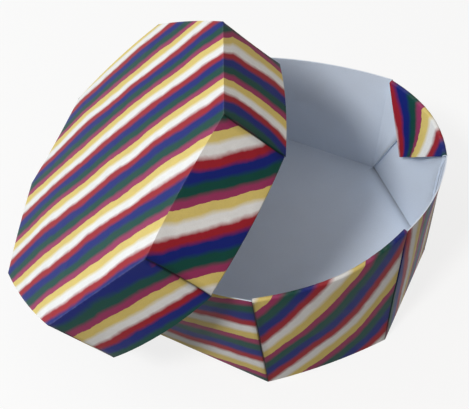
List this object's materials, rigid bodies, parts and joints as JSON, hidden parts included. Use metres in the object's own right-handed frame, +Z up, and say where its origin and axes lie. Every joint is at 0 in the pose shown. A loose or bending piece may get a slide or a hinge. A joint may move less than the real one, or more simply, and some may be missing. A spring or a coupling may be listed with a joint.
{
  "type": "folded paper box",
  "caption": "Octagonal open box folded from one sheet of striped paper, with a separate shallow lid of the same kind that leans on its rim.",
  "frame": {"origin": "middle of the underside of the box's octagonal floor, on the table", "axes": "+Z up out of the open box, +X and +Y square to two of its four straight walls; the lid leans on the rim from the -X -Y side"},
  "size_m": [0.104, 0.1067, 0.0728],
  "materials": {
    "box_paper": "satin printed paper, white on its other face",
    "lid_paper": "satin printed paper, white on its other face"
  },
  "bodies": {
    "root": {"box_base": "box_paper", "box_lid": "lid_paper"}
  },
  "joints": []
}
